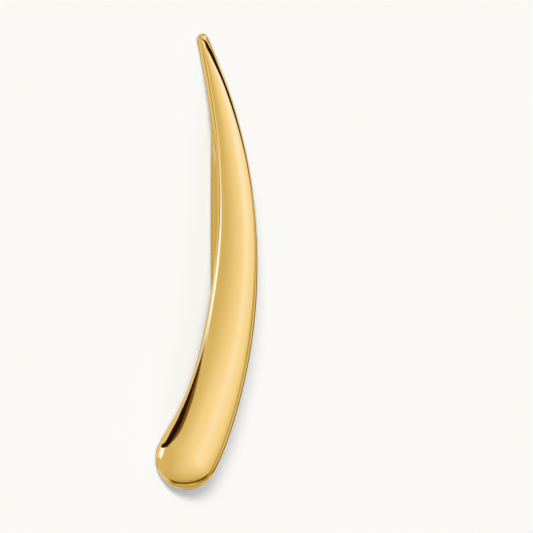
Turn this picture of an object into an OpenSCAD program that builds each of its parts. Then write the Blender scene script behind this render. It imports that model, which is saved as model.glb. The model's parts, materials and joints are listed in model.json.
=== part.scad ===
// One ear climber: a curved drop-shaped bar that lies up the ear, and the wire behind it that goes
// through the lobe. It lies as it comes to rest by itself, on the bar's two ends and the wire's tip.
// The shape is drawn standing, with x to the convex side, y to the back and z to the tip, from the
// centre of the bar's outer edge at the level of its flat back. It is then turned into its rest.

/* [Bar] */
// Radius of the bar's convex outer edge
outer_r = 32.4; // [29:0.2:36]
// Angle from the level of that edge's centre up to the middle of the tip
tip_angle = 24.7; // [22:0.1:27]
// Angle from the same level down to the middle of the round end
end_angle = 22.5; // [20:0.1:25]
// Width across the tip
tip_w = 0.74; // [0.6:0.02:1.2]
// Width across the round end
end_w = 3.78; // [3.2:0.02:4.6]
// Distance from the outer edge's circle in to the round end's own circle
end_tuck = 0.08; // [0:0.01:0.2]
// Thickness at the tip
tip_t = 0.85; // [0.7:0.01:1.2]
// Thickness at the round end
end_t = 1.53; // [1.3:0.01:2.2]
// Rise of the domed front for each millimetre from its edge to its middle
dome = 0.12; // [0:0.01:0.16]
// Radius of the rounded front edge
front_edge_r = 0.33; // [0.1:0.01:0.45]
// Radius of the softened back edge
back_edge_r = 0.15; // [0.05:0.01:0.25]

/* [Ear wire] */
// Diameter of the wire
wire_d = 0.81; // [0.7:0.01:1]
// Distance from the outermost point of the outer edge in to the middle of the wire
wire_inset = 2.44; // [1.8:0.02:2.8]
// Height of the wire's root above the bottom of the round end
root_rise = 5.1; // [4.4:0.02:6]
// Length of the straight stem behind the bar
stem_l = 1.2; // [0.6:0.1:2]
// Angle at which the stem rises from square to the back
stem_rise = 7; // [0:0.5:15]
// Radius of the bend under the lobe, along the wire's middle
heel_r = 3.2; // [2.4:0.1:4]
// Radius of the slack curve above that bend
slack_r = 9.3; // [6:0.1:20]
// Angle at which the wire then leans in towards the bar
lean = 8.1; // [4:0.1:12]
// Length of the straight stretch up the back of the lobe
upright_l = 5.9; // [4:0.1:9]
// Radius of the long curve that starts to ease it upright
ease_r = 60; // [30:1:90]
// Angle that the long curve turns
ease = 3.5; // [1:0.1:3.9]
// Radius of the bend where the wire comes nearest to the bar
nip_r = 6.2; // [4:0.1:10]
// Angle at which the tip leans away from the bar
flare = 11.5; // [4:0.5:20]
// Length of the straight tip up to its round end
wire_tip_l = 1.8; // [1.2:0.1:3]

/* [Solder] */
// Diameter of the solder where it meets the bar's back
solder_d = 1.1; // [1.04:0.02:1.4]
// Length of the solder along the wire
solder_l = 0.3; // [0.1:0.02:0.6]

/* [Hidden] */
$fn = 64;
wire_r = wire_d / 2;
end_r = end_w / 2;
tip_r = tip_w / 2;
solder_r = solder_d / 2;

// How the bar swells from tip to round end. Columns: the place along it, the share of the way from
// its width at the tip to its width where the inner edge runs into the round end, and the share of
// the way from tip_t to end_t.
SWELL = [
    [0, 0, 0],
    [0.1, 0.163, 0.18],
    [0.2, 0.295, 0.30],
    [0.35, 0.444, 0.50],
    [0.5, 0.583, 0.685],
    [0.65, 0.698, 0.80],
    [0.8, 0.777, 0.935],
    [0.9, 0.862, 0.99],
    [0.96, 0.955, 1],
    [1, 1, 1]
];

// The steps that the bar's faces are drawn in
side_steps = 40;
cap_steps = 14;
// Where the outer edge starts to tuck in towards the round end, as a place along it
tuck_from = 0.92;
// Degrees past square to the bar at which the outer edge runs into the round end, and those past a
// half turn at which the inner edge runs out of it
outer_past = 6;
inner_past = 11;
// Degrees of the front edge's round before the dome takes over from it
shoulder = 75;
// Largest share of the half width that the front edge's round may take
round_share = 0.8;

// A smooth value of one column of SWELL at s, by a cubic curve through its rows
function slope(i, col) =
    let (a = max(i - 1, 0), b = min(i + 1, len(SWELL) - 1))
    (SWELL[b][col] - SWELL[a][col]) / (SWELL[b][0] - SWELL[a][0]);
function row_before(s, i = 0) =
    i == len(SWELL) - 2 || s <= SWELL[i + 1][0] ? i : row_before(s, i + 1);
function swell(s, col) =
    let (
        i = row_before(s),
        gap = SWELL[i + 1][0] - SWELL[i][0],
        u = (s - SWELL[i][0]) / gap
    )
    SWELL[i][col] * (1 + 2 * u) * pow(1 - u, 2)
    + SWELL[i + 1][col] * (3 - 2 * u) * pow(u, 2)
    + gap * slope(i, col) * u * pow(1 - u, 2)
    + gap * slope(i + 1, col) * pow(u, 2) * (u - 1);
function thickness(s) = tip_t + (end_t - tip_t) * swell(s, 2);

// The bar's plan, seen from the front: places by radius and angle about the outer edge's centre
function at(radius, angle) = [radius * cos(angle), 0, radius * sin(angle)];
tip_middle = at(outer_r - tip_r, tip_angle);
end_middle = at(outer_r - end_tuck - end_r, -end_angle);

// The outer edge runs into the round end's circle just past square to the bar, and the inner edge
// runs out of it after more than a half turn
outer_meets = end_middle + at(end_r, -end_angle - outer_past);
inner_meets = end_middle + at(end_r, 180 - end_angle - inner_past);
function angle_of(p) = atan2(p.z, p.x);
function angle_at(s, last) = tip_angle + (angle_of(last) - tip_angle) * s;
function outer_edge(s) =
    let (tuck = (outer_r - norm(outer_meets)) * pow(max(0, (s - tuck_from) / (1 - tuck_from)), 2))
    at(outer_r - tuck, angle_at(s, outer_meets));
function inner_edge(s) =
    let (widest = outer_r - norm(inner_meets))
    at(outer_r - tip_w - (widest - tip_w) * swell(s, 1), angle_at(s, inner_meets));
function midline(s) = s == 1 ? end_middle : (outer_edge(s) + inner_edge(s)) / 2;

// The plan's outline as rows of [point on the edge, its point on the midline, thickness, the number
// of that midline point]: down the outer edge, round the end, up the inner edge and over the tip
function side_row(i, edge) = let (s = i / side_steps) [edge, midline(s), thickness(s), i];
function cap_rows(middle, r, first, last, t, i) =
    [for (j = [1:cap_steps - 1])
        [middle + at(r, first + (last - first) * j / cap_steps), middle, t, i]];
OUTLINE = concat(
    [for (i = [0:side_steps]) side_row(i, outer_edge(i / side_steps))],
    cap_rows(end_middle, end_r, -end_angle - outer_past, -180 - end_angle - inner_past, end_t, side_steps),
    [for (i = [side_steps:-1:0]) side_row(i, inner_edge(i / side_steps))],
    cap_rows(tip_middle, tip_r, tip_angle + 180, tip_angle, tip_t, 0)
);

// The bar's section as [distance in from the edge, height above the back] from the back's rim,
// round the back edge, up the side, round the front edge and up the dome, short of its middle
function section(half, t) =
    let (
        r = min(front_edge_r, round_share * half),
        side_top = t - dome * half - r,
        start = [r * (1 - cos(shoulder)), side_top + r * sin(shoulder)]
    )
    concat(
        [for (q = [0:30:90]) back_edge_r * [1 - sin(q), 1 - cos(q)]],
        [for (q = [0:shoulder / 4:shoulder]) [r * (1 - cos(q)), side_top + r * sin(q)]],
        [for (u = [0.25:0.25:0.75])
            [start.x + (half - start.x) * u, t - (t - start.y) * pow(1 - u, 2)]]
    );
function section_points(row) =
    let (half = norm(row[1] - row[0]))
    [for (p = section(half, row[2])) row[0] + (row[1] - row[0]) * p.x / half - [0, p.y, 0]];

around = len(OUTLINE);
levels = len(section(end_r, end_t));
back_midline = around * levels;
front_midline = back_midline + side_steps + 1;
BAR_POINTS = concat(
    [for (row = OUTLINE) each section_points(row)],
    [for (i = [0:side_steps]) midline(i / side_steps)],
    [for (i = [0:side_steps]) midline(i / side_steps) - [0, thickness(i / side_steps), 0]]
);
function corner(i, level) = (i % around) * levels + level;
function middle_faces(i, level, first, flip) =
    let (
        a = corner(i, level),
        b = corner(i + 1, level),
        m = first + OUTLINE[i][3],
        n = first + OUTLINE[(i + 1) % around][3]
    )
    concat(
        [flip ? [a, b, n] : [b, a, n]],
        m == n ? [] : [flip ? [a, n, m] : [n, a, m]]
    );
BAR_FACES = concat(
    [for (i = [0:around - 1], level = [0:levels - 2])
        each [
            [corner(i, level), corner(i + 1, level), corner(i + 1, level + 1)],
            [corner(i, level), corner(i + 1, level + 1), corner(i, level + 1)]
        ]],
    [for (i = [0:around - 1]) each middle_faces(i, 0, back_midline, false)],
    [for (i = [0:around - 1]) each middle_faces(i, levels - 1, front_midline, true)]
);

// The wire's middle in its own plane, as [distance behind the bar's back, height], leg by leg from
// its sunk root to its tip. A leg is [length, 0, radius] where it is straight and [bend radius, turn,
// radius] where it bends, and a positive turn bends it up and in towards the bar. Bends are thicker
// by a hair, and the thinner of two legs runs a hair into the thicker, so that each joint is clean.
hair = 0.002;
wire_lap = 0.02;
seat = end_t / 3;
root_z = end_middle.z - end_r + root_rise;
LEGS = [
    [seat + stem_l, 0, wire_r],
    [heel_r, 90 - stem_rise, wire_r + hair],
    [slack_r, lean, wire_r + 2 * hair],
    [upright_l, 0, wire_r],
    [ease_r, -ease, wire_r + hair],
    [nip_r, ease - lean - flare, wire_r + 2 * hair],
    [wire_tip_l, 0, wire_r]
];
function heading(angle) = [cos(angle), sin(angle)];
// A leg starts from [place, angle of its heading]
function bend_middle(from, leg) =
    from[0] + sign(leg[1]) * leg[0] * heading(from[1] + 90);
function along(from, leg, part) =
    leg[1] == 0
    ? [from[0] + part * leg[0] * heading(from[1]), from[1]]
    : [
        bend_middle(from, leg) + sign(leg[1]) * leg[0] * heading(from[1] + part * leg[1] - 90),
        from[1] + part * leg[1]
    ];
function leg_starts(n) =
    n == 0
    ? [[[0, root_z] - seat * heading(stem_rise), stem_rise]]
    : let (before = leg_starts(n - 1)) concat(before, [along(before[n - 1], LEGS[n - 1], 1)]);
STARTS = leg_starts(len(LEGS));
function wire_place(p) = [outer_r - wire_inset, p.x, p.y];
wire_end = wire_place(STARTS[len(LEGS)][0]);

// The rest: the floor touches the back edge of both ends of the bar, and the wire's round tip. The
// touching points depend on the floor's tilt, so it is found in a few rounds.
function unit(v) = v / norm(v);
function cap_touch(middle, r, up) =
    middle - (r - back_edge_r) * unit([up.x, 0, up.z]) - [0, back_edge_r, 0] - back_edge_r * up;
function floor_up(rounds) =
    rounds == 0
    ? unit([2.6, -1, 0])
    : let (
        up = floor_up(rounds - 1),
        end = cap_touch(end_middle, end_r, up),
        tip = cap_touch(tip_middle, tip_r, up),
        wire = wire_end - wire_r * up
    )
    unit(cross(wire - end, tip - end));
UP = floor_up(6);
BACKWARD = unit([0, 1, 0] - UP.y * UP);
TURN = [cross(BACKWARD, UP), BACKWARD, UP];

// The turned part's box, which sets it down over the origin
OUTER_POINTS = concat(
    [for (p = BAR_POINTS) [p, 0]],
    [for (i = [0:len(LEGS) - 1], part = [0:0.02:1])
        [wire_place(along(STARTS[i], LEGS[i], part)[0]), i == 0 ? 0 : wire_r]]
);
function low(axis) = min([for (p = OUTER_POINTS) TURN[axis] * p[0] - p[1]]);
function high(axis) = max([for (p = OUTER_POINTS) TURN[axis] * p[0] + p[1]]);
SHIFT = -[(low(0) + high(0)) / 2, (low(1) + high(1)) / 2, low(2)];

module bar() {
    polyhedron(BAR_POINTS, BAR_FACES, convexity = 4);
}

// A leg of the wire, run on by a lap at each end that meets a thicker leg
module wire_leg(from, leg, lap_before, lap_after) {
    if (leg[1] == 0)
        translate(from[0] - lap_before * heading(from[1])) rotate([0, 90, from[1]])
            cylinder(r = leg[2], h = leg[0] + lap_before + lap_after);
    else
        bend(from, leg, lap_before / leg[0] * 180 / PI, lap_after / leg[0] * 180 / PI);
}

module bend(from, leg, before, after) {
    way = sign(leg[1]);
    first = from[1] - 90 * way - before * way;
    sweep = abs(leg[1]) + before + after;
    translate(bend_middle(from, leg)) rotate(way > 0 ? first : first - sweep)
        rotate_extrude(angle = sweep) translate([leg[0], 0]) circle(leg[2]);
}

// The stem, turned in one piece with the cone of solder round it. Below the cone it stays as wide,
// sunk far enough for the cone's tilted foot to start inside the bar.
module stem() {
    sunk = solder_r * tan(stem_rise) + 0.1;
    foot_r = solder_r + (solder_r - wire_r) * sunk / solder_l;
    length = seat + stem_l + wire_lap;
    translate(STARTS[0][0]) rotate([0, 90, stem_rise]) rotate_extrude() polygon([
        [0, 0],
        [foot_r, 0],
        [foot_r, seat - sunk],
        [wire_r, seat + solder_l],
        [wire_r, length],
        [0, length]
    ]);
}

// The wire, from its plane to the place behind the bar
module ear_wire() {
    last = len(LEGS) - 1;
    function lap(i, j) = j <= last && LEGS[j][2] > LEGS[i][2] ? wire_lap : 0;
    translate([outer_r - wire_inset, 0, 0]) rotate([90, 0, 90]) {
        stem();
        for (i = [1:last]) wire_leg(STARTS[i], LEGS[i], lap(i, i - 1), lap(i, i + 1));
        translate(STARTS[last + 1][0]) sphere(wire_r - hair);
    }
}

module ear_climber() {
    color([0.83, 0.62, 0.22])
        translate(SHIFT) multmatrix(TURN) {
            bar();
            ear_wire();
        }
}

ear_climber();
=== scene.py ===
import json
import bpy
import numpy as np
from mathutils import Matrix, Vector


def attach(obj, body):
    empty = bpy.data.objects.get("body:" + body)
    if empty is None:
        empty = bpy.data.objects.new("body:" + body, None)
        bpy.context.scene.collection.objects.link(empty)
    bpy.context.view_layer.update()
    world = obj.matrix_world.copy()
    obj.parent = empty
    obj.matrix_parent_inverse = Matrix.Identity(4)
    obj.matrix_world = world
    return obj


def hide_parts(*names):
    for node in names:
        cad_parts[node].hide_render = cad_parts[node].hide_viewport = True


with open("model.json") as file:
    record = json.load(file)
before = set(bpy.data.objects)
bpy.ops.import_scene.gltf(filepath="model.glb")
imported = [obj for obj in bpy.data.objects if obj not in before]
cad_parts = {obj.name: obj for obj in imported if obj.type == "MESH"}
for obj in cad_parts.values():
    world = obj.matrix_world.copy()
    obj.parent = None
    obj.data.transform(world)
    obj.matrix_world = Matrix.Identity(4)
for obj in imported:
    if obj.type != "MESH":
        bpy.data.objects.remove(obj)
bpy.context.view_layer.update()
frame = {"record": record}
print("scene: the packed earring is loaded")

# The earring is worked out standing, in mm: x to its convex side, y to its back, z to its tip, from
# the centre of the bar's outer edge at the level of the flat back. The record's two mounts then say
# where that lies at rest: the back's axis is y, and the wire's straight tip gives z and the place.
mounts = {m["name"]: m for m in frame["record"]["mounts"]}


def alongTable(rows, column, at, loop=None):
    # cubic through the rows of a table, its slope at a row taken from the rows on either side
    x, y = np.array([(r[0], r[column]) for r in rows], float).T
    last = len(x) - 1
    before, after = np.maximum(np.arange(last + 1) - 1, 0), np.minimum(np.arange(last + 1) + 1, last)
    slope = (y[after] - y[before]) / (x[after] - x[before])
    if loop:
        slope[[0, last]] = (y[1] - y[last - 1]) / (x[1] - x[last - 1] + loop)
    i = np.clip(np.searchsorted(x, at, side="right") - 1, 0, last - 1)
    gap = x[i + 1] - x[i]
    u = (at - x[i]) / gap
    return (y[i] * (1 + 2 * u) * (1 - u) ** 2 + y[i + 1] * (3 - 2 * u) * u ** 2
            + gap * slope[i] * u * (1 - u) ** 2 + gap * slope[i + 1] * u ** 2 * (u - 1))


def polar(radius, degrees):
    # a point of the plan by its radius and its angle about the outer edge's centre
    a = np.radians(degrees)
    return np.stack([radius * np.cos(a), radius * np.sin(a)], -1)


def eased(values, width):
    # average along a closed row, with the bell-shaped weights e^(-(steps / width)^2 / 2)
    reach = int(4 * width)
    steps = np.arange(-reach, reach + 1)
    weights = np.exp(-0.5 * (steps / width) ** 2)
    return sum(w * np.roll(values, s, axis=0) for s, w in zip(steps, weights / weights.sum()))


bar = {
    "outerRadius": 32.4,     # the convex edge is part of one circle
    "tipAngle": 24.82,       # degrees from the level of its centre up to the tip
    "endAngle": 22.5,        # and down to the round end
    "tipWidth": 0.74,
    "endWidth": 3.78,
    "endTuck": 0.08,         # from the outer circle in to the round end's own
    "outerPast": 6,          # degrees past square where the outer edge runs into the round end
    "innerPast": 11,         # degrees past a half turn where the inner edge leaves it
    "tuckFrom": 0.92,        # place along the outer edge where it starts to tuck in
    "tipThickness": 0.85,
    "endThickness": 1.53,
    "backEdge": 0.15,        # radius of the round along the back
    "backHold": 0.05,        # past that round, a row of points that keeps the back flat
    # place along the bar, then its shares of the way to the full width and thickness
    "swell": [
        (0, 0, 0), (0.1, 0.163, 0.18), (0.2, 0.295, 0.30), (0.35, 0.444, 0.50),
        (0.5, 0.583, 0.685), (0.65, 0.698, 0.80), (0.8, 0.777, 0.935), (0.9, 0.862, 0.99),
        (0.96, 0.955, 1), (1, 1, 1),
    ],
    # the buffed front edge once round the plan, as place, width and depth in mm, roundness (2 is an
    # ellipse, less is flatter) and the slope of the dome where it meets it: 0 to 1 runs down the
    # outer side, to 2 round the end, to 3 up the inner side and to 4 over the tip
    "frontEdge": [
        (0, 0.53, 0.25, 1.30, 0.248), (0.02, 0.34, 0.21, 1.30, 0.178),
        (0.05, 0.35, 0.25, 1.60, 0.175), (0.09, 0.32, 0.32, 2.09, 0.173),
        (0.14, 0.27, 0.24, 1.83, 0.193), (0.2, 0.24, 0.24, 2.01, 0.212),
        (0.3, 0.18, 0.29, 2.36, 0.248), (0.45, 0.22, 0.36, 2.52, 0.262),
        (0.62, 0.38, 0.27, 2.00, 0.257), (0.8, 0.29, 0.25, 1.68, 0.260),
        (1, 0.35, 0.28, 1.54, 0.253), (1.2, 0.43, 0.30, 1.32, 0.237),
        (1.4, 0.37, 0.30, 1.38, 0.238), (1.6, 0.50, 0.26, 2.07, 0.272),
        (1.74, 0.55, 0.42, 2.16, 0.317), (1.82, 0.66, 0.57, 2.24, 0.306),
        (1.88, 0.83, 0.63, 2.04, 0.292), (1.93, 0.97, 0.67, 2.40, 0.254),
        (1.98, 1.22, 0.51, 2.03, 0.276), (2.03, 1.26, 0.56, 1.70, 0.287),
        (2.08, 0.98, 0.53, 1.63, 0.243), (2.13, 0.91, 0.48, 1.96, 0.292),
        (2.19, 0.62, 0.41, 2.02, 0.301), (2.26, 0.48, 0.47, 2.33, 0.280),
        (2.36, 0.47, 0.41, 2.38, 0.267), (2.48, 0.46, 0.28, 1.92, 0.278),
        (2.66, 0.38, 0.36, 2.19, 0.265), (2.8, 0.48, 0.26, 1.50, 0.244),
        (2.9, 0.39, 0.22, 1.30, 0.244), (3, 0.42, 0.23, 1.34, 0.258),
        (3.25, 0.40, 0.33, 1.82, 0.263), (3.5, 0.41, 0.38, 1.95, 0.270),
        (3.75, 0.46, 0.37, 1.49, 0.266), (4, 0.53, 0.25, 1.30, 0.248),
    ],
    # how far the dome's crest lies from the middle towards the inner side, as a share of the half
    # width, by place along the bar, and how far in mm it moves at the round end and at the tip
    "crest": [
        (0, 0), (0.12, -0.02), (0.3, -0.06), (0.5, -0.13), (0.7, -0.06), (0.85, 0.16), (1, 0.15),
    ],
    "endCrest": (0.18, 0.26),
    "endCrestFrom": 0.85,    # place along the bar where that move starts
    "tipCrest": (-0.03, -0.05),
    "tipCrestTo": 0.1,       # and where the tip's ends
    "edgeMost": 0.9,         # the front edge's largest share of the half width
    "sideColumns": 260,
    "endColumns": 120,
    "tipColumns": 60,
    "backRows": 9,
    "sideRows": 5,
    "frontRows": 22,
    "domeRows": 26,
    "softening": 3.0,        # columns over which the outline's joints are eased
    "crestSoftening": 9.0,
    "meeting": 0.005,        # mm within which points of the ridge are taken as one
}


def barPlan():
    # The outline, seen from the front, and for each of its points the point of the middle line that
    # its section runs to. The outer side is an arc of the outer radius. The inner side's radius is
    # the outer one less the width, and the width swells along the bar. Both ends are parts of
    # circles, whose sections all run to one point near the circle's centre.
    outerR, tipR, endR = bar["outerRadius"], bar["tipWidth"] / 2, bar["endWidth"] / 2
    tipMiddle = polar(outerR - tipR, bar["tipAngle"])
    endMiddle = polar(outerR - bar["endTuck"] - endR, -bar["endAngle"])
    endFirst = -bar["endAngle"] - bar["outerPast"]
    endLast = -180 - bar["endAngle"] - bar["innerPast"]
    endCrest, tipCrest = endMiddle + bar["endCrest"], tipMiddle + bar["tipCrest"]
    outerMeets, innerMeets = endMiddle + polar(endR, endFirst), endMiddle + polar(endR, endLast)

    def angleAt(s, meets):
        # even steps from the tip's angle to that of the point where the side meets the round end
        return bar["tipAngle"] + (np.degrees(np.arctan2(meets[1], meets[0])) - bar["tipAngle"]) * s

    def outer(s):
        # radius = outer radius - tuck * square of the way past where the tuck starts
        past = np.maximum(0, (s - bar["tuckFrom"]) / (1 - bar["tuckFrom"]))
        return polar(outerR - (outerR - np.hypot(*outerMeets)) * past ** 2, angleAt(s, outerMeets))

    def inner(s):
        # radius = outer radius - tip's width - swelling
        widest = outerR - np.hypot(*innerMeets) - bar["tipWidth"]
        swelling = widest * alongTable(bar["swell"], 1, s)
        return polar(outerR - bar["tipWidth"] - swelling, angleAt(s, innerMeets))

    def rising(t):
        # 3 t^2 - 2 t^3, a smooth rise from 0 to 1
        t = np.clip(t, 0, 1)[:, None]
        return t * t * (3 - 2 * t)

    def middle(s):
        # between the two sides at the crest's share, moved at the round end and at the tip
        towardsInner = (1 + alongTable(bar["crest"], 1, s)[:, None]) / 2
        atEnd = rising((s - bar["endCrestFrom"]) / (1 - bar["endCrestFrom"])) * bar["endCrest"]
        atTip = rising((bar["tipCrestTo"] - s) / bar["tipCrestTo"]) * bar["tipCrest"]
        between = outer(s) * (1 - towardsInner) + inner(s) * towardsInner + atEnd + atTip
        return np.where((s == 1)[:, None], endCrest, between)

    down = np.linspace(0, 1, bar["sideColumns"], endpoint=False)
    end = np.linspace(0, 1, bar["endColumns"], endpoint=False)
    tip = np.linspace(0, 1, bar["tipColumns"], endpoint=False)
    up = 1 - down
    edge = np.vstack([outer(down), endMiddle + polar(endR, endFirst + (endLast - endFirst) * end),
                      inner(up), tipMiddle + polar(tipR, bar["tipAngle"] + 180 * (1 - tip))])
    ridge = np.vstack([middle(down), np.repeat([endCrest], len(end), 0),
                       middle(up), np.repeat([tipCrest], len(tip), 0)])
    along = np.concatenate([down, 1 + 0 * end, up, 0 * tip])
    place = np.concatenate([down, 1 + end, 2 + down, 3 + tip])
    thicker = bar["endThickness"] - bar["tipThickness"]
    thick = bar["tipThickness"] + thicker * alongTable(bar["swell"], 2, along)
    most = bar["edgeMost"] * np.linalg.norm(ridge - edge, axis=1)
    wide, deep, roundness, slope = [alongTable(bar["frontEdge"], column, place, loop=4)
                                    for column in (1, 2, 3, 4)]
    profile = np.stack([thick, np.minimum(wide, most), np.minimum(deep, most), roundness, slope])
    edge, profile = eased(edge, bar["softening"]), eased(profile.T, bar["softening"]).T
    ridge = eased(ridge, bar["crestSoftening"])
    # both sides' sections end on the same ridge, so each column is paired with the one across it
    turning = 2 * bar["sideColumns"] + bar["endColumns"]
    across = (turning - np.arange(len(edge))) % len(edge)
    ridge, profile[0] = (ridge + ridge[across]) / 2, (profile[0] + profile[0][across]) / 2
    # by the centres of the two ends the ridge's points all but meet, so there they are made to
    for centre in (bar["sideColumns"] + bar["endColumns"] // 2, -bar["tipColumns"] // 2):
        close = np.linalg.norm(ridge - ridge[centre], axis=1) < bar["meeting"]
        ridge[close], profile[0, close] = ridge[centre], profile[0, centre]
    return edge, ridge, profile


def barSurface():
    # The section from the edge to the ridge: flat at the back, a quarter circle, a straight side, at
    # the front part of a superellipse, (1 - inset / width)^p + (height / depth)^p = 1, until it is
    # as steep as the dome's rim, then the parabola height = thickness - rise * (1 - u)^2.
    edge, ridge, (thick, wide, deep, p, slope) = barPlan()
    half = np.linalg.norm(ridge - edge, axis=1)
    stop = np.arctan((deep / (slope * wide)) ** (p / (2 * (p - 1))))
    domeFrom = wide * (1 - np.cos(stop) ** (2 / p))
    rise = slope * (half - domeFrom) / 2
    sideTop = thick - rise - deep * np.sin(stop) ** (2 / p)
    r, nought = bar["backEdge"], 0 * half
    back = np.radians(np.linspace(90, 0, bar["backRows"]))[:, None]
    side = np.linspace(0, 1, bar["sideRows"])[1:-1, None]
    front = np.linspace(0, 1, bar["frontRows"])[:, None] * stop
    dome = np.linspace(0, 1, bar["domeRows"])[1:-1, None]
    insets = np.vstack([r + bar["backHold"] + nought, r * (1 - np.cos(back)) + nought,
                        side * nought, wide * (1 - np.cos(front) ** (2 / p)),
                        domeFrom + (half - domeFrom) * dome])
    heights = np.vstack([nought, r * (1 - np.sin(back)) + nought,
                         r + (sideTop - r) * side, sideTop + deep * np.sin(front) ** (2 / p),
                         thick - rise * (1 - dome) ** 2])
    plan = edge + ((ridge - edge) / half[:, None]) * insets[..., None]
    rings = np.stack([plan[..., 0], -heights, plan[..., 1]], -1)
    backRidge = np.stack([ridge[:, 0], nought, ridge[:, 1]], -1)[None]
    frontRidge = np.stack([ridge[:, 0], -thick, ridge[:, 1]], -1)[None]
    return np.concatenate([backRidge, rings, frontRidge])


wire = {
    "radius": 0.405,         # 20 gauge
    "inset": 2.44,           # from the outer edge's outermost point in to the wire
    "rootRise": 5.1,         # from the bottom of the round end up to the root
    "seat": 0.51,            # how far the wire runs into the bar
    "stem": 1.2,             # from the back to the first bend
    "stemRise": 7,           # degrees that it climbs on the way
    # straight legs are (length, 0) and bends (radius, degrees), from the stem to the tip
    "legs": [(3.2, 83), (9.3, 8.1), (5.9, 0), (60, -3.5), (6.2, -16.1), (1.8, 0)],
    "flare": 11.5,           # degrees between the straight tip and the way from foot to tip
    "columns": 48,
    "rowsPerDegree": 1.2,
    "straightRows": 12,
    "tipRows": 14,
}


def wirePath():
    # Points [behind the back, height] of the wire's middle, and its heading there. Each leg is a
    # straight line or an arc of its own radius, taken from where the leg before it ends.
    endMiddle = polar(bar["outerRadius"] - bar["endTuck"] - bar["endWidth"] / 2, -bar["endAngle"])
    heading = np.radians(wire["stemRise"])
    start = np.array([0, endMiddle[1] - bar["endWidth"] / 2 + wire["rootRise"]])
    start = start - wire["seat"] * np.array([np.cos(heading), np.sin(heading)])
    places, headings = [], []
    for size, turn in [(wire["seat"] + wire["stem"], 0)] + wire["legs"]:
        turned = np.radians(turn)
        rows = 3 + int(abs(turn) * wire["rowsPerDegree"]) if turn else wire["straightRows"]
        steps = np.linspace(0, 1, rows)
        if turn:
            middle = start + np.sign(turn) * size * np.array([-np.sin(heading), np.cos(heading)])
            out = heading + steps * turned - np.sign(turn) * np.pi / 2
            leg = middle + size * np.stack([np.cos(out), np.sin(out)], -1)
        else:
            leg = start + steps[:, None] * size * np.array([np.cos(heading), np.sin(heading)])
        places.append(leg if not places else leg[1:])
        headings.append((heading + steps * turned)[len(steps) - len(places[-1]):])
        start, heading = leg[-1], heading + turned
    return np.vstack(places), np.concatenate(headings)


def wireSurface():
    # A circle carried along the path, square to it. Past the path's end the circle shrinks as
    # the root of 1 - t^2, which rounds the tip.
    places, headings = wirePath()
    r = wire["radius"]
    t = np.sin(np.linspace(0, np.pi / 2, wire["tipRows"]))[1:]
    ahead = np.array([np.cos(headings[-1]), np.sin(headings[-1])])
    places = np.vstack([places[:1], places, places[-1] + r * t[:, None] * ahead])
    headings = np.concatenate([headings[:1], headings, np.full(len(t), headings[-1])])
    shrinking = r * np.sqrt(np.maximum(0, 1 - t ** 2))
    radii = np.concatenate([[0], np.full(len(places) - 1 - len(t), r), shrinking])
    turn = np.linspace(0, 2 * np.pi, wire["columns"], endpoint=False)
    outward = np.stack([-np.sin(headings), np.cos(headings)], -1)
    x = bar["outerRadius"] - wire["inset"] + radii[:, None] * np.cos(turn)
    plane = places[:, None] + (radii[:, None] * np.sin(turn))[..., None] * outward[:, None]
    return np.stack([x, plane[..., 0], plane[..., 1]], -1)


solder = {
    "width": 1.1,
    "length": 0.42,
    "sunk": 0.12,            # how far it starts inside the bar
    "thin": 0.01,            # how far its far end lies within the wire
    "easing": 2.4,           # power by which it thins along the wire, 1 for a plain cone
    "lumps": 0.035,          # unevenness of the cooled metal, in mm
    # its slow waves, as times round, share, place and turn along the wire in radians
    "waves": [(2, 1, 0.6, 0), (3, 0.6, 0.529, 0), (5, 0.4, 0.3, 2)],
    "columns": 64,
    "rows": 26,
}


def solderSurface():
    # A fillet turned about the stem: at height h its radius is the wire's, and the solder's extra
    # width times (1 - h)^easing, with slow cosine waves round it for the way that molten metal sets.
    places, headings = wirePath()
    ahead = np.array([np.cos(headings[0]), np.sin(headings[0])])
    outward = np.array([-ahead[1], ahead[0]])
    h = np.linspace(0, 1, solder["rows"])[:, None]
    turn = np.linspace(0, 2 * np.pi, solder["columns"], endpoint=False)
    lumps = sum(share * np.cos(times * turn + begins + twist * h)
                for times, share, begins, twist in solder["waves"])
    wide = solder["width"] / 2 - wire["radius"] + solder["lumps"] * lumps
    radii = wire["radius"] - solder["thin"] + wide * (1 - h) ** solder["easing"]
    reach = wire["seat"] - solder["sunk"] + (solder["sunk"] + solder["length"]) * h
    middle = places[0] + reach[..., None] * ahead
    x = bar["outerRadius"] - wire["inset"] + radii * np.cos(turn)
    plane = middle + (radii * np.sin(turn))[..., None] * outward
    grid = np.stack([x, plane[..., 0], plane[..., 1]], -1)
    first, last = [np.full_like(grid[:1], [x.mean(), *middle[row, 0]]) for row in (0, -1)]
    return np.concatenate([first, grid, last])


def restMatrix():
    # the turn and shift, mm to metres, that lay the standing earring down as the record has it
    backward = np.array(mounts["back"]["axis"])
    tipAxis = np.array(mounts["ear_wire_tip"]["axis"])
    flare = np.radians(wire["flare"])
    tipward = (tipAxis - np.sin(flare) * backward) / np.cos(flare)
    tipward /= np.linalg.norm(tipward)
    turn = np.stack([np.cross(backward, tipward), backward, tipward], -1)
    places, headings = wirePath()
    ahead = np.array([np.cos(headings[-1]), np.sin(headings[-1])])
    tip = places[-1] - wire["legs"][-1][0] / 2 * ahead    # its mount is halfway along the last leg
    standing = np.array([bar["outerRadius"] - wire["inset"], *tip])
    return turn, np.array(mounts["ear_wire_tip"]["pos_m"]) - turn @ standing / 1000


restTurn, restShift = restMatrix()


def layDown(points):
    # points of the standing earring in mm, turned and shifted to where they lie at rest in metres
    return points @ restTurn.T / 1000 + restShift


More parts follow.
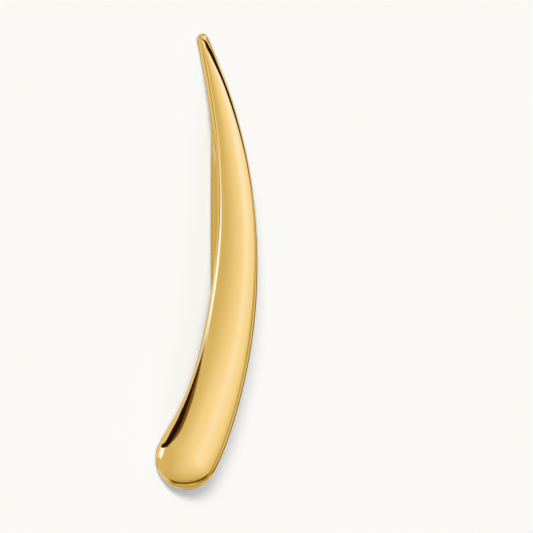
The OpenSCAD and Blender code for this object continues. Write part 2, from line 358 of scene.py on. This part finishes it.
def makePiece(name, grid, material):
    # The piece's quads, of a grid of points that closes on itself across. Points in one place become
    # one, and a quad that has collapsed there becomes a triangle or goes.
    points, number = np.unique(grid.reshape(-1, 3), axis=0, return_inverse=True)
    number = number.reshape(grid.shape[:2])
    beside = np.roll(number, -1, 1)
    quads = np.stack([number[1:], beside[1:], beside[:-1], number[:-1]], -1).reshape(-1, 4)
    whole = (quads != np.roll(quads, 1, 1)).all(1)
    halves = np.vstack([quads[~whole][:, [0, 1, 2]], quads[~whole][:, [0, 2, 3]]])
    halves = halves[(halves != np.roll(halves, 1, 1)).all(1)]
    mesh = bpy.data.meshes.new(name)
    mesh.from_pydata(layDown(points).tolist(), [], quads[whole].tolist() + halves.tolist())
    mesh.polygons.foreach_set("use_smooth", np.ones(len(mesh.polygons), bool))
    mesh.materials.append(material)
    piece = bpy.data.objects.new(name, mesh)
    bpy.context.scene.collection.objects.link(piece)
    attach(piece, "root")
    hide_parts("ear_climber")
    print("scene:", name, len(mesh.polygons), "faces")


def hexColour(code):
    # sRGB hex to the linear colour that shaders work in
    c = np.array([int(code[i:i + 2], 16) for i in (0, 2, 4)]) / 255
    return (*np.where(c <= 0.04045, c / 12.92, ((c + 0.055) / 1.055) ** 2.4), 1.0)


def addNode(tree, kind, settings=None, inputs=None):
    # a node with its settings, and each input either linked or given its value
    new = tree.nodes.new(kind)
    for key, value in (settings or {}).items():
        setattr(new, key, value)
    for key, value in (inputs or {}).items():
        if isinstance(value, bpy.types.NodeSocket):
            tree.links.new(value, new.inputs[key])
        else:
            new.inputs[key].default_value = value
    return new


gold = {
    "colour": "F9D58C",
    "roughness": (0.012, 0.035),
    # painted shade: the wire's gold is the bar's gold painted deeper, for the darker reflections on
    # it
    "wirePaintedShadeColour": "F1C771",
    "wireRoughness": (0.2, 0.26),
    "haze": 0.9,             # mm, patches where the buffing wheel left a softer shine
    "hazeSpan": (0.3, 0.7),  # the noise's values between which the roughness runs
    "wave": 2.2,             # mm, slow waves that hand buffing leaves
    "waveHeight": 0.0016,    # mm
}


def finishedGold(name, colour, roughness):
    # 14 karat yellow gold. The bar was cast, filed and buffed on a wheel: a mirror with a warm
    # colour, whose reflections waver a little and soften in patches. The wire was drawn and only
    # tumbled, so its mirror is softer. Its colour is the bar's gold painted a little deeper, a
    # painted shade that stands in for the darker reflections on the wire beside the bar.
    material = bpy.data.materials.new(name)
    material.use_nodes = True
    tree = material.node_tree
    tree.nodes.clear()
    place = addNode(tree, "ShaderNodeTexCoord").outputs["Object"]
    haze = addNode(tree, "ShaderNodeTexNoise", {"noise_dimensions": "3D"},
                   {"Vector": place, "Scale": 1000 / gold["haze"], "Detail": 3.0, "Roughness": 0.55})
    rough = addNode(tree, "ShaderNodeMapRange", {},
                    {"Value": haze.outputs["Fac"],
                     "From Min": gold["hazeSpan"][0], "From Max": gold["hazeSpan"][1],
                     "To Min": roughness[0], "To Max": roughness[1]})
    wave = addNode(tree, "ShaderNodeTexNoise", {"noise_dimensions": "3D"},
                   {"Vector": place, "Scale": 1000 / gold["wave"], "Detail": 1.0, "Roughness": 0.4})
    bump = addNode(tree, "ShaderNodeBump", {},
                   {"Strength": 1.0, "Distance": gold["waveHeight"] / 1000,
                    "Height": wave.outputs["Fac"]})
    shader = addNode(tree, "ShaderNodeBsdfPrincipled", {},
                     {"Base Color": hexColour(colour), "Metallic": 1.0,
                      "Roughness": rough.outputs["Result"], "Normal": bump.outputs["Normal"]})
    addNode(tree, "ShaderNodeOutputMaterial", {}, {"Surface": shader.outputs["BSDF"]})
    return material


buffedGold = finishedGold("buffedGold", gold["colour"], gold["roughness"])
# the wire and the solder get the deeper gold, a painted shade of the bar's gold
drawnGoldPaintedShade = finishedGold("drawnGoldPaintedShade", gold["wirePaintedShadeColour"], gold["wireRoughness"])
makePiece("climberBar", barSurface(), buffedGold)
makePiece("earWire", wireSurface(), drawnGoldPaintedShade)
makePiece("solderFillet", solderSurface(), drawnGoldPaintedShade)

studio = {
    "floorSize": 2.4,
    "paper": "FAF9F5",
    # soft shapes that the gold mirrors, each fixed in the room, in degrees about the way to the
    # photo's camera, to its right and up: kind, brightness, middle, half sizes, softness
    "shapes": [
        ("box", 0.38, (112.0, -16.0), (24.0, 44.0), 6.0),
        ("box", 0.58, (5.0, 100.0), (25.0, 12.0), 6.0),
        ("box", 0.48, (-44.0, 62.0), (25.0, 17.0), 4.0),
        ("box", 1.0, (33.0, 64.0), (10.0, 16.0), 5.0),
        ("box", 0.48, (68.0, 47.0), (9.5, 13.0), 3.0),
        ("box", 1.14, (51.0, 56.0), (5.5, 24.0), 2.5),
        ("box", 0.274, (72.7, -14.5), (39.0, 34.6), 8.8),
        ("box", 0.81, (65.5, -7.5), (14.9, 26.2), 9.3),
        ("box", 1, (125.0, 58.0), (45.0, 32.0), 16.0),
        ("box", 0.57, (0.0, -130.0), (90.0, 45.0), 10.0),
        ("box", 0.584, (-8.8, -71.6), (42.8, 21.9), 8.3),
        ("box", 0.464, (15.6, -48.3), (44.7, 16.3), 2.2),
        ("box", 0.87, (1.0, -58.4), (20.0, 3.2), 2.2),
        ("box", 0.54, (3.9, -68.5), (42.1, 2.0), 2.7),
        ("box", 0.76, (4.0, -102.0), (46.0, 7.0), 3.0),
        ("round", 1, (-0.5, 5.5), (28.5, 30.7), 4.4),          # what the dome mirrors
        ("box", 0.525, (-38.0, -10.7), (2.1, 15.6), 2.0),
        ("box", 0.52, (-110.0, -17.0), (22.0, 11.0), 3.0),
        ("box", 0.571, (39.8, -8.7), (4.9, 24.7), 3.3),
        ("box", 0.67, (-25.0, -2.4), (15.0, 27.0), 22.0),
        ("box", 0.5, (0, -23.5), (34.3, 1.5), 14.9),
        ("box", 0.156, (7.8, -37.0), (32.6, 11.2), 3.2),
        ("box", 1.27, (14.9, 11.9), (4.2, 6.3), 6.8),
        ("box", 1.12, (13.5, -0.4), (2.3, 7.9), 6.5),
        ("box", 0.394, (-52.4, -15.3), (3.1, 16.0), 2.6),
        ("box", 0.951, (-44.0, -8.7), (3.1, 11.1), 2.3),
        ("box", 1.04, (-51.0, 7.3), (17.0, 8.0), 3.0),
        ("box", 1.43, (-53.0, 12.7), (12.5, 10.6), 4.5),
        ("box", 1.25, (-67.0, 15.8), (12.0, 7.4), 3.0),        # the inner side's white line
        ("box", 0.246, (-71.8, 2.9), (8.2, 4.9), 4.2),
        ("box", 0.172, (-40.7, 16.9), (14.3, 4.6), 0.8),       # beside the foot's black band
        ("box", 0.018, (-40.7, 23.8), (28.9, 7.0), 1.0),       # the foot's black band
        ("box", 0.018, (41.0, 22.1), (38.9, 9.8), 0.8),        # the tip's black line
    ],
    "base": 0.818,           # brightness between the shapes
    # what lies behind: right is up from the floor and left is down
    "rearFrom": (100, 125),  # degrees from the way to the camera over which it takes over
    "rearShapes": [
        ("box", 0.97, (-50, 0), (34, 90), 12),
        ("box", 0.35, (-26, 19), (17, 16), 4),
        ("box", 0.62, (-80, 0), (14, 90), 10),
        ("box", 0.10, (2, -25), (9, 70), 3),
        ("box", 0.50, (22, 0), (11, 90), 5),
        ("box", 1.28, (42, 6), (14, 38), 5),
        ("box", 0.36, (72, 0), (15, 90), 5),
        ("box", 0.68, (-50, -5), (40, 9), 4),
    ],
    "rearBase": 0.80,
    # the mirrored light's colour at brightness L: red is L, but no more than redMost, green and blue
    # are L to their powers, and blue has bluer for each unit of L above 1
    "redMost": 1.02,
    "greenPower": 1.25,
    "bluePower": 2.45,
    "bluer": 3.0,
    "trace": (0.0, 0.003, 0.01),  # what even the darkest shapes give back, as red, green and blue
    # the floor's even light from all round, a little cool, and how many times as strong it is
    # where it comes by way of the gold
    "fill": (0.445, 0.45, 0.47),
    "byGold": 1.5,
    # two soft lamps on the camera's side make up the white. The first draws the shadow behind and
    # below, and the second, a little higher, the thin shade at the near side: share of the light,
    # elevation, degrees aside, width in degrees
    "lamps": [(0.37, 20, 5.4, 4.5), (0.16, 23, 3, 6)],
}


def softShapes(tree, chart, light, shapes):
    # Each shape is laid over those before it. Its mask is 1 inside and falls to 0 as 3 t^2 - 2 t^3
    # from its softness within its edge to its softness outside it.
    for kind, level, middle, half, soft in shapes:
        local = addNode(tree, "ShaderNodeVectorMath", {"operation": "SUBTRACT"},
                        {0: chart, 1: (*middle, 0)})
        if kind == "round":
            local = addNode(tree, "ShaderNodeVectorMath", {"operation": "DIVIDE"},
                            {0: local.outputs["Vector"], 1: (*half, 1)})
            away = addNode(tree, "ShaderNodeVectorMath", {"operation": "LENGTH"},
                           {0: local.outputs["Vector"]})
            edges = [(away.outputs["Value"], 1.0, soft / half[0])]
        else:
            split = addNode(tree, "ShaderNodeSeparateXYZ", {}, {"Vector": local.outputs["Vector"]})
            edges = []
            for axis, size in zip("XY", half):
                away = addNode(tree, "ShaderNodeMath", {"operation": "ABSOLUTE"},
                               {0: split.outputs[axis]})
                edges.append((away.outputs["Value"], size, soft))
        mask = 1.0
        for away, size, fade in edges:
            edge = addNode(tree, "ShaderNodeMapRange", {"interpolation_type": "SMOOTHSTEP"},
                           {"Value": away, "From Min": size - fade, "From Max": size + fade,
                            "To Min": 1.0, "To Max": 0.0})
            mask = addNode(tree, "ShaderNodeMath", {"operation": "MULTIPLY"},
                           {0: mask, 1: edge.outputs["Result"]}).outputs["Value"]
        light = addNode(tree, "ShaderNodeMix", {"data_type": "FLOAT"},
                        {"Factor": mask, 2: light, 3: level}).outputs[0]
    return light


def mirroredLight(tree):
    # The brightness that the gold mirrors from each direction. A direction's place on the chart is
    # its angle from the way to the photo's camera, in degrees, times the unit way aside from it.
    # The three ways are fixed in the room.
    way = addNode(tree, "ShaderNodeTexCoord").outputs["Generated"]
    toCamera, toRight, toUp = -restTurn[:, 1], restTurn[:, 0], restTurn[:, 2]
    right, up, near = [addNode(tree, "ShaderNodeVectorMath", {"operation": "DOT_PRODUCT"},
                               {0: way, 1: tuple(v)}).outputs["Value"]
                       for v in (toRight, toUp, toCamera)]
    aside = addNode(tree, "ShaderNodeCombineXYZ", {}, {"X": right, "Y": up})
    aside = addNode(tree, "ShaderNodeVectorMath", {"operation": "NORMALIZE"},
                    {0: aside.outputs["Vector"]}).outputs["Vector"]
    angle = addNode(tree, "ShaderNodeMath", {"operation": "ARCCOSINE"}, {0: near})
    degrees = addNode(tree, "ShaderNodeMath", {"operation": "DEGREES"},
                      {0: angle.outputs["Value"]}).outputs["Value"]
    chart = addNode(tree, "ShaderNodeVectorMath", {"operation": "SCALE"},
                    {0: aside, "Scale": degrees}).outputs["Vector"]
    # the same directions counted from straight behind, for what the back and the wire mirror
    fromBehind = addNode(tree, "ShaderNodeMath", {"operation": "SUBTRACT"},
                         {0: 180.0, 1: degrees}).outputs["Value"]
    rearChart = addNode(tree, "ShaderNodeVectorMath", {"operation": "SCALE"},
                        {0: aside, "Scale": fromBehind}).outputs["Vector"]
    front = softShapes(tree, chart, studio["base"], studio["shapes"])
    rear = softShapes(tree, rearChart, studio["rearBase"], studio["rearShapes"])
    behind = addNode(tree, "ShaderNodeMapRange", {"interpolation_type": "SMOOTHSTEP"},
                     {"Value": degrees, "From Min": studio["rearFrom"][0],
                      "From Max": studio["rearFrom"][1]})
    return addNode(tree, "ShaderNodeMix", {"data_type": "FLOAT"},
                   {"Factor": behind.outputs["Result"], 2: front, 3: rear}).outputs[0]


def warmed(tree, light):
    # the light's colour: warm where it is dim and cool where it is strong, by the studio's powers
    red = addNode(tree, "ShaderNodeMath", {"operation": "MINIMUM"}, {0: light, 1: studio["redMost"]})
    green, blue = [addNode(tree, "ShaderNodeMath", {"operation": "POWER"}, {0: light, 1: power})
                   for power in (studio["greenPower"], studio["bluePower"])]
    strong = addNode(tree, "ShaderNodeMath", {"operation": "SUBTRACT", "use_clamp": True},
                     {0: light, 1: 1.0})
    blue = addNode(tree, "ShaderNodeMath", {"operation": "MULTIPLY_ADD"},
                   {0: strong.outputs["Value"], 1: studio["bluer"], 2: blue.outputs["Value"]})
    colour = addNode(tree, "ShaderNodeCombineColor", {},
                     {"Red": red.outputs["Value"], "Green": green.outputs["Value"],
                      "Blue": blue.outputs["Value"]})
    return addNode(tree, "ShaderNodeVectorMath", {"operation": "ADD"},
                   {0: colour.outputs["Color"], 1: studio["trace"]}).outputs["Vector"]


def studioWorld():
    # The camera sees plain pale paper, the floor is lit by an even light from all round, and the
    # gold mirrors the soft shapes. Light that reaches the floor by way of the gold is made up to
    # white, so no gold patches lie there.
    world = bpy.data.worlds.new("studio")
    bpy.context.scene.world = world
    world.use_nodes = True
    tree = world.node_tree
    tree.nodes.clear()
    whitened = np.array(studio["fill"]) / hexColour(gold["colour"])[:3] * studio["byGold"]
    mirrored = addNode(tree, "ShaderNodeBackground", {},
                       {"Color": warmed(tree, mirroredLight(tree))})
    paper = addNode(tree, "ShaderNodeBackground", {}, {"Color": hexColour(studio["paper"])})
    lighting, byGold = [addNode(tree, "ShaderNodeBackground", {}, {"Color": (*light, 1)})
                        for light in (studio["fill"], whitened)]
    ray = addNode(tree, "ShaderNodeLightPath")
    unspread = addNode(tree, "ShaderNodeMath", {"operation": "LESS_THAN"},
                       {0: ray.outputs["Diffuse Depth"], 1: 0.5})
    direct = addNode(tree, "ShaderNodeMath", {"operation": "MULTIPLY"},
                     {0: ray.outputs["Is Glossy Ray"], 1: unspread.outputs["Value"]})
    spread = addNode(tree, "ShaderNodeMixShader", {},
                     {0: ray.outputs["Is Glossy Ray"], 1: lighting.outputs["Background"],
                      2: byGold.outputs["Background"]})
    shown = addNode(tree, "ShaderNodeMixShader", {},
                    {0: direct.outputs["Value"], 1: spread.outputs["Shader"],
                     2: mirrored.outputs["Background"]})
    seen = addNode(tree, "ShaderNodeMixShader", {},
                   {0: ray.outputs["Is Camera Ray"], 1: shown.outputs["Shader"],
                    2: paper.outputs["Background"]})
    addNode(tree, "ShaderNodeOutputWorld", {}, {"Surface": seen.outputs["Shader"]})


def paperFloor():
    # matt white paper: even and without gloss
    material = bpy.data.materials.new("mattPaper")
    material.use_nodes = True
    shader = material.node_tree.nodes["Principled BSDF"]
    shader.inputs["Base Color"].default_value = hexColour(studio["paper"])
    shader.inputs["Roughness"].default_value = 1.0
    shader.inputs["Specular IOR Level"].default_value = 0.0
    half = studio["floorSize"] / 2
    corners = [(-half, -half, 0), (half, -half, 0), (half, half, 0), (-half, half, 0)]
    mesh = bpy.data.meshes.new("paperFloor")
    mesh.from_pydata(corners, [], [(0, 1, 2, 3)])
    mesh.materials.append(material)
    floor = bpy.data.objects.new("paperFloor", mesh)
    bpy.context.scene.collection.objects.link(floor)
    floor.visible_glossy = False     # the gold mirrors the studio all round, as if it hung there


def frontLamps():
    # a lamp's light on level paper is strength * sin(elevation) / pi
    total = sum(lamp[0] for lamp in studio["lamps"])
    for number, (share, elevation, aside, width) in enumerate(studio["lamps"], 1):
        lamp = bpy.data.lights.new(f"frontLamp{number}", "SUN")
        lamp.energy = share * np.pi / np.sin(np.radians(elevation))
        lamp.color = (1 - np.array(studio["fill"])) / total
        lamp.angle = np.radians(width)
        holder = bpy.data.objects.new(f"frontLamp{number}", lamp)
        holder.rotation_euler = (np.radians(90 - elevation), 0, -np.radians(aside))
        holder.visible_glossy = False    # it only draws the shadow
        bpy.context.scene.collection.objects.link(holder)


studioWorld()
paperFloor()
frontLamps()
print("scene: studio")

photo = {
    "scale": 0.03198,        # metres across the picture
    "middle": (32.898, 0, -0.156),  # of the picture, in the standing earring's mm
    "distance": 0.08,        # metres from there to the camera
    "clip": (0.001, 4.0),    # metres, the nearest and furthest that it sees
}
cameraData = bpy.data.cameras.new("camera")
cameraData.type = "ORTHO"
cameraData.ortho_scale = photo["scale"]
cameraData.clip_start, cameraData.clip_end = photo["clip"]
camera = bpy.data.objects.new("camera", cameraData)
bpy.context.scene.collection.objects.link(camera)
bpy.context.scene.camera = camera
axes = Matrix(np.stack([restTurn[:, 0], restTurn[:, 2], -restTurn[:, 1]], -1).tolist())
target = layDown(np.array(photo["middle"]))
camera.location = Vector(target - restTurn[:, 1] * photo["distance"])
camera.rotation_mode = "QUATERNION"
camera.rotation_quaternion = axes.to_quaternion()
bpy.context.scene.view_settings.view_transform = "Standard"
print("scene: camera")
